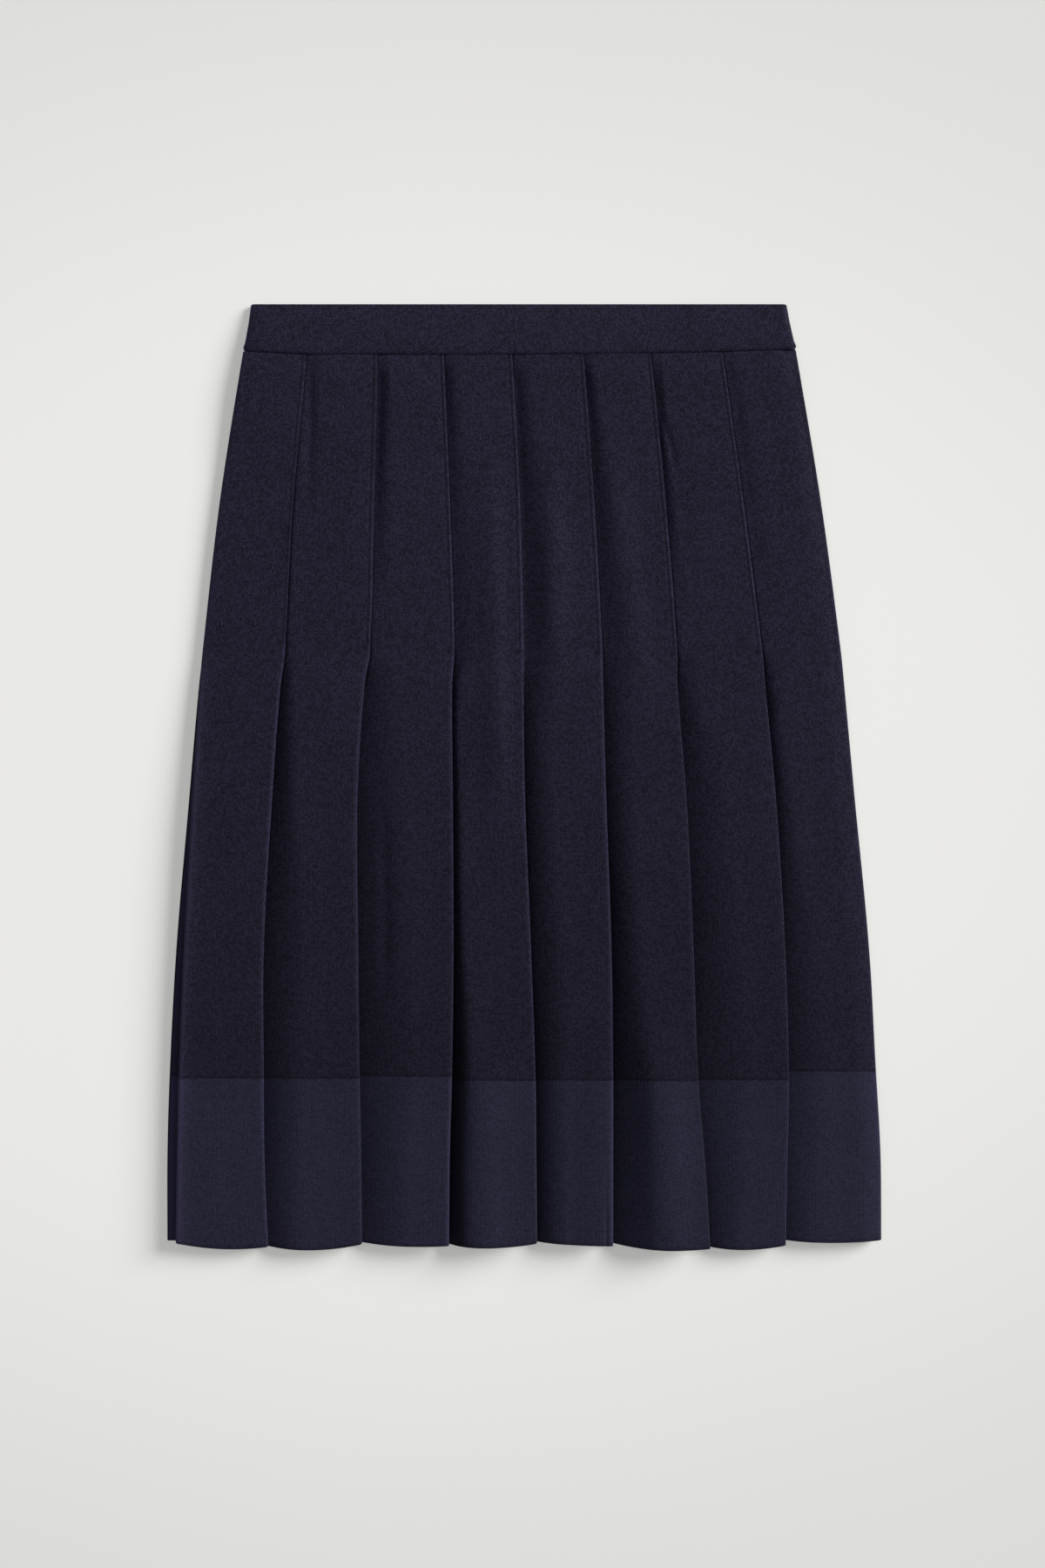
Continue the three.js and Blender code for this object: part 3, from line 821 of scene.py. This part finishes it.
def new_group(name, inputs, outputs):
    """An empty shader node group with float or colour sockets: (name, kind, default)."""
    group = bpy.data.node_groups.new(name, "ShaderNodeTree")
    for label, kind, default in inputs:
        socket = group.interface.new_socket(label, in_out="INPUT", socket_type=kind)
        socket.default_value = default
    for label, kind in outputs:
        group.interface.new_socket(label, in_out="OUTPUT", socket_type=kind)
    tree = Tree(group)
    return group, tree, tree.add("NodeGroupInput"), tree.add("NodeGroupOutput")


def stitch_places(tree, given):
    """The cloth's own UV, and the place across it in wales and along it in courses."""
    uv = tree.add("ShaderNodeUVMap", uv_map="cloth").outputs[0]
    parts = tree.add("ShaderNodeSeparateXYZ", {0: uv})
    column = tree.math("DIVIDE", parts.outputs[0], given.outputs["Wale"])
    row = tree.math("DIVIDE", parts.outputs[1], given.outputs["Course"])
    return uv, column, row


def stitch_group():
    """Height of plain knitting from the cloth's own UV: wales are rounded ridges across u, and each
    is a column of slanted loops, a sine of v pushed up by the distance from the wale's middle."""
    if "plain_knit" in bpy.data.node_groups:
        return bpy.data.node_groups["plain_knit"]
    number = "NodeSocketFloat"
    inputs = [("Wale", number, 0.0014), ("Course", number, 0.0011)]
    group, tree, given, out = new_group("plain_knit", inputs, [("Height", number)])
    column, row = stitch_places(tree, given)[1:]
    place = tree.math("SUBTRACT", tree.math("FRACT", column), 0.5)
    off = tree.math("ABSOLUTE", place)
    ridge = tree.math("SUBTRACT", 1.0, tree.math("MULTIPLY", tree.math("MULTIPLY", off, off), 4.0))
    slant = tree.math("ADD", row, tree.math("MULTIPLY", off, 1.6))
    loop = tree.math("SINE", tree.math("MULTIPLY", slant, 2 * math.pi))
    loops = tree.math("ADD", tree.math("MULTIPLY", loop, 0.25), 0.75)
    tree.feed(out.inputs["Height"], tree.math("MULTIPLY", ridge, loops))
    return group


def melange_group():
    """Colour of a heathered yarn: each stitch has its own random share of lighter fibres, one half
    of it from the stitch's place in wales and courses and one half from a fine noise, and there is
    a slow drift from place to place."""
    if "melange" in bpy.data.node_groups:
        return bpy.data.node_groups["melange"]
    colour, number = "NodeSocketColor", "NodeSocketFloat"
    inputs = [
        ("Yarn", colour, (0, 0, 0, 1)), ("Fleck", colour, (0, 0, 0, 1)), ("Amount", number, 0.3),
        ("Wale", number, 0.0014), ("Course", number, 0.0011),
    ]
    group, tree, given, out = new_group("melange", inputs, [("Color", colour)])
    uv, column, row = stitch_places(tree, given)
    cell = tree.add("ShaderNodeCombineXYZ", {0: tree.math("FLOOR", column), 1: tree.math("FLOOR", row)})
    random = tree.add("ShaderNodeTexWhiteNoise", {"Vector": cell.outputs[0]}, noise_dimensions="2D")
    tone = tree.add("ShaderNodeMapRange", {0: random.outputs["Value"], 1: 0.08, 2: 0.92}, clamp=True)
    fine = tree.add("ShaderNodeMapping", {"Vector": uv, "Scale": (1500.0, 1700.0, 1.0)}).outputs[0]
    fibres = tree.add("ShaderNodeTexNoise", {"Vector": fine, "Scale": 1.0, "Detail": 2.0})
    slow = tree.add("ShaderNodeTexNoise", {"Vector": uv, "Scale": 22.0, "Detail": 2.0})
    sharp = tree.add("ShaderNodeMapRange", {0: fibres.outputs[0], 1: 0.38, 2: 0.62}, clamp=True)
    picked = tree.math("MULTIPLY", tree.math("ADD", tone.outputs[0], sharp.outputs[0]), 0.5)
    share = tree.math("MULTIPLY", picked, given.outputs["Amount"])
    drift = tree.math("MULTIPLY", tree.math("SUBTRACT", slow.outputs[0], 0.5), 0.08)
    share = tree.math("ADD", share, drift, clamp=True)
    tree.feed(out.inputs["Color"], tree.blend(share, given.outputs["Yarn"], given.outputs["Fleck"]))
    return group


NEAR_BLACK = (0.001, 0.001, 0.002, 1)  # the colour of cloth that no light reaches


def new_material(name, roughness, specular):
    """A material, a tree to add its nodes to, and the inputs of its shader."""
    material = bpy.data.materials.new(name)
    material.use_nodes = True
    inputs = material.node_tree.nodes["Principled BSDF"].inputs
    inputs["Roughness"].default_value = roughness
    inputs["Specular IOR Level"].default_value = specular
    return material, Tree(material.node_tree), inputs


def knit_material(name, yarn, fleck, amount, wale, course, roughness, sheen, edges=(), fade=0.0):
    """Matt, slightly fuzzy knit. The hollows between its loops are painted darker, as painted shade. The
    attribute for the stitching lines paints shade into them, and the attribute for the edges paints a
    highlight on them where it is above 0 and shade where it is below 0. Each of `edges` is a course at a
    height s that is tinted darker, (from, to, share), and the yarn gets darker by the share `fade` from the
    hip to the band, a painted shade of the light falling off towards the bottom."""
    material, tree, shader = new_material(name, roughness, 0.12)
    gauge = {"Wale": wale * MM, "Course": course * MM}
    knit = tree.add("ShaderNodeGroup", gauge, node_tree=stitch_group())
    yarns = {"Yarn": (*yarn, 1), "Fleck": (*fleck, 1), "Amount": amount, **gauge}
    heather = tree.add("ShaderNodeGroup", yarns, node_tree=melange_group())
    # painted shade: the hollows between the loops are painted darker
    hollow = tree.math("MULTIPLY", tree.math("SUBTRACT", 1.0, knit.outputs["Height"]), 0.8)
    colour = tree.blend(hollow, heather.outputs["Color"], (0.002, 0.002, 0.004, 1))
    # painted highlight on pleat edges, the side fold, the hem's edge and the waistband's end, towards the
    # fleck colour; where the mark is below 0, painted shade towards near black
    edge_light_shade = tree.add("ShaderNodeAttribute", attribute_name="edge_light_shade").outputs["Fac"]
    colour = tree.blend(tree.math("MULTIPLY", edge_light_shade, 0.22, clamp=True), colour, (*fleck, 1))
    painted_edge_shade = tree.math("MULTIPLY", edge_light_shade, -1.3, clamp=True)
    colour = tree.blend(painted_edge_shade, colour, NEAR_BLACK)
    # painted shade in the stitching lines, the dimples at the releases and the deep valley of the front
    groove_shade = tree.add("ShaderNodeAttribute", attribute_name="groove_shade").outputs["Fac"]
    colour = tree.blend(tree.math("MULTIPLY", groove_shade, 0.35), colour, NEAR_BLACK)
    # painted shade: the yarn is painted darker towards the bottom, by the share fade, as the light falls
    # off
    height = tree.add("ShaderNodeSeparateXYZ", {0: tree.add("ShaderNodeUVMap", uv_map="cloth").outputs[0]})
    down = tree.add("ShaderNodeMapRange", {0: height.outputs[1], 1: 0.14, 2: 0.5, 4: fade}).outputs[0]
    colour = tree.blend(down, colour, NEAR_BLACK)
    for start, stop, share in edges:
        after = tree.math("GREATER_THAN", height.outputs[1], start * MM)
        before = tree.math("LESS_THAN", height.outputs[1], stop * MM)
        course_mask = tree.math("MULTIPLY", tree.math("MULTIPLY", after, before), share)
        colour = tree.blend(course_mask, colour, NEAR_BLACK)
    tree.feed(shader["Base Color"], colour)
    spot = tree.add("ShaderNodeTexCoord").outputs["Object"]
    spot = tree.add("ShaderNodeMapping", {"Vector": spot, "Scale": (900.0, 900.0, 900.0)}).outputs[0]
    fuzz = tree.add("ShaderNodeTexNoise", {"Vector": spot, "Scale": 1.0, "Detail": 3.0})
    rough = tree.math("ADD", tree.math("MULTIPLY", fuzz.outputs[0], 0.16), roughness - 0.08)
    tree.feed(shader["Roughness"], rough)
    stitches = tree.math("MULTIPLY", knit.outputs["Height"], 0.45)
    relief = tree.math("ADD", stitches, tree.math("MULTIPLY", fuzz.outputs[0], 0.25))
    bump = tree.add("ShaderNodeBump", {"Strength": 0.5, "Distance": 0.00022, "Height": relief})
    tree.feed(shader["Normal"], bump.outputs[0])
    tree.feed(shader["Sheen Weight"], sheen)
    tree.feed(shader["Sheen Roughness"], 0.45)
    tree.feed(shader["Sheen Tint"], (0.52, 0.48, 0.9, 1))
    return material


def navy_knit():
    found = bpy.data.materials.get("navy_knit_wool")
    if found:
        return found
    edges = [(514.2, 516.0, 0.35)]
    wale, course = sizes().wale, sizes().course
    return knit_material(
        "navy_knit_wool", colours().navy, colours().fleck, 0.395, wale, course, 0.92, 0.1, edges, 0.3
    )


def band_knit():
    found = bpy.data.materials.get("band_knit_wool")
    if found:
        return found
    edges = [(624.8, 627.5, 0.3)]
    return knit_material(
        "band_knit_wool", colours().band, colours().fleck, 0.34, sizes().wale, 0.8, 0.88, 0.1, edges
    )


def thread_material():
    """Sewing thread of the bartacks: navy, with a finer ply than the knit."""
    material, tree, shader = new_material("bartack_thread", 0.85, 0.1)
    spot = tree.add("ShaderNodeTexCoord").outputs["Object"]
    ply = tree.add("ShaderNodeTexWave", {"Vector": spot, "Scale": 700.0, "Distortion": 1.0})
    light, dark = (0.007, 0.006, 0.014, 1), (0.002, 0.002, 0.004, 1)
    tree.feed(shader["Base Color"], tree.blend(ply.outputs["Fac"], dark, light))
    bump = tree.add("ShaderNodeBump", {"Strength": 0.6, "Distance": 0.0001, "Height": ply.outputs["Fac"]})
    tree.feed(shader["Normal"], bump.outputs[0])
    return material


def floor_material():
    """A pale sheet that glows a little, as a sheet lit from below would, as a guess: painted light, which
    keeps the shadows on it light. It is painted darker far from the middle, a painted falloff of the light,
    and has a very faint mottle."""
    material, tree, shader = new_material("pale_floor", 0.95, 0.1)
    spot = tree.add("ShaderNodeTexCoord").outputs["Object"]
    mottle = tree.add("ShaderNodeTexNoise", {"Vector": spot, "Scale": 3.0, "Detail": 2.0})
    tone = colours().floor
    shade = tuple(0.985 * c for c in tone)
    even = tree.blend(mottle.outputs[0], (*tone, 1), (*shade, 1))
    # painted shade: the floor is darker far from the middle, standing in for light falling off
    oval = tree.add(
        "ShaderNodeMapping", {"Vector": spot, "Location": (0.08, 0.0, 0.0), "Scale": (0.8, 1.1, 1.0)}
    ).outputs[0]
    away = tree.add("ShaderNodeVectorMath", {0: oval}, operation="LENGTH").outputs["Value"]
    soft = tree.add(
        "ShaderNodeMapRange", {0: away, 1: 0.26, 2: 0.7, 4: 0.14}, interpolation_type="SMOOTHSTEP"
    ).outputs[0]
    painted_falloff_tone = tree.blend(soft, even, (0.05, 0.05, 0.05, 1))
    # painted light: the floor's own colour is dimmed and the same tone glows, which lifts the shadows on it
    tree.feed(shader["Base Color"], tree.blend(0.4, painted_falloff_tone, (0, 0, 0, 1)))
    tree.feed(shader["Emission Color"], painted_falloff_tone)
    tree.feed(shader["Emission Strength"], 0.395)
    return material


# Operators ---------------------------------------------------------------------------------------


def finish_piece(piece, node, material):
    piece.data.materials.append(material)
    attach(piece, "root")
    if node:
        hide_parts(node)


def build_halves(part, material, rows, gaps):
    """The cloth of the back and that of the front, between two stations, with `gaps` at its ends."""
    for name in ("back", "front"):
        half = Half(name)
        piece = pleated_cloth(f"{name}_{part}_knit", half, rows(half.front), *gaps)
        finish_piece(piece, f"{name}_{part}", material)


class SKIRT_OT_waistband(bpy.types.Operator):
    """Build the waistband, a strip of knit folded double and joined into a ring"""

    bl_idname = "skirt.waistband"
    bl_label = "Waistband"

    def execute(self, context):
        piece = waistband_mesh()
        finish_piece(piece, "waistband", navy_knit())
        return {"FINISHED"}


class SKIRT_OT_pleats(bpy.types.Operator):
    """Build the pleated cloth of the front and of the back"""

    bl_idname = "skirt.pleats"
    bl_label = "Pleats"

    def execute(self, context):
        build_halves("pleats", navy_knit(), body_rows, (0, JOIN_GAP / 2))
        return {"FINISHED"}


class SKIRT_OT_hem_bands(bpy.types.Operator):
    """Build the contrast band at the hem of the front and of the back"""

    bl_idname = "skirt.hem_bands"
    bl_label = "Hem bands"

    def execute(self, context):
        build_halves("hem_band", band_knit(), hem_rows, (JOIN_GAP / 2, 0))
        return {"FINISHED"}


class SKIRT_OT_bartacks(bpy.types.Operator):
    """Build the short bars of stitches where the front pleats are let go"""

    bl_idname = "skirt.bartacks"
    bl_label = "Bartacks"

    def execute(self, context):
        finish_piece(bartack_mesh(), None, thread_material())
        return {"FINISHED"}


def soft_box(name, place, target, size, power, colour):
    """A round area light that looks at a target; lengths in metres."""
    light = bpy.data.lights.new(name, "AREA")
    light.shape = "DISK"
    light.size = size
    light.energy = power
    light.color = colour
    lamp = new_object(name, light)
    lamp.location = place
    aim = np.array(target) - np.array(place)
    aim = aim / np.linalg.norm(aim)
    lamp.rotation_euler = (math.acos(-aim[2]), 0, math.atan2(-aim[0], aim[1]))


class SKIRT_OT_stage(bpy.types.Operator):
    """Set the pale floor, the soft light and the camera straight above"""

    bl_idname = "skirt.stage"
    bl_label = "Stage"

    def execute(self, context):
        scene = context.scene
        mesh = bpy.data.meshes.new("floor")
        reach = 6.0
        down = -0.0003
        across = ((-1, -1), (1, -1), (1, 1), (-1, 1))
        mesh.from_pydata([(reach * x, reach * y, down) for x, y in across], [], [(0, 1, 2, 3)])
        mesh.materials.append(floor_material())
        floor = new_object("floor", mesh)

        world = bpy.data.worlds.new("soft_daylight")
        world.use_nodes = True
        background = world.node_tree.nodes["Background"]
        background.inputs[0].default_value = (0.97, 0.98, 1.0, 1)
        background.inputs[1].default_value = 0.15
        scene.world = world
        soft_box("key_upper_right", (18.9, 9.94, 10.9), (0, 0, 0), 13.0, 10400, (1.0, 0.99, 0.97))
        soft_box("overhead", (-0.4, 0.0, 2.6), (0, 0, 0), 1.6, 8, (1.0, 1.0, 1.0))

        camera = bpy.data.cameras.new("camera")
        view = new_object("camera", camera)
        high, tall = 2.2, 1.044
        camera.lens = camera.sensor_width * high / tall
        view.location = (-0.001, -0.005, high + 0.008)
        view.rotation_euler = (0, 0, 0)
        scene.camera = view
        scene.view_settings.view_transform = "Standard"
        scene.view_settings.look = "None"
        return {"FINISHED"}


STEPS = (SKIRT_OT_stage, SKIRT_OT_waistband, SKIRT_OT_pleats, SKIRT_OT_hem_bands, SKIRT_OT_bartacks)


class SKIRT_PT_panel(bpy.types.Panel):
    """Lists the sizes, the colours and the steps in order"""

    bl_idname = "SKIRT_PT_panel"
    bl_label = "Pleated Midi Skirt"
    bl_space_type = "VIEW_3D"
    bl_region_type = "UI"
    bl_category = "Skirt"

    def draw(self, context):
        for group in (context.scene.skirt_sizes, context.scene.skirt_colours):
            for name in group.bl_rna.properties.keys():
                if name not in {"rna_type", "name"}:
                    self.layout.prop(group, name)
        for step in STEPS:
            self.layout.operator(step.bl_idname)


CLASSES = (SkirtSizes, SkirtColours, *STEPS, SKIRT_PT_panel)


def register():
    for item in CLASSES:
        bpy.utils.register_class(item)
    bpy.types.Scene.skirt_sizes = bpy.props.PointerProperty(type=SkirtSizes)
    bpy.types.Scene.skirt_colours = bpy.props.PointerProperty(type=SkirtColours)


def unregister():
    del bpy.types.Scene.skirt_sizes
    del bpy.types.Scene.skirt_colours
    for item in reversed(CLASSES):
        bpy.utils.unregister_class(item)


def main():
    register()
    bpy.ops.skirt.stage()
    bpy.ops.skirt.waistband()
    bpy.ops.skirt.pleats()
    bpy.ops.skirt.hem_bands()
    bpy.ops.skirt.bartacks()


if __name__ == "__main__":
    main()
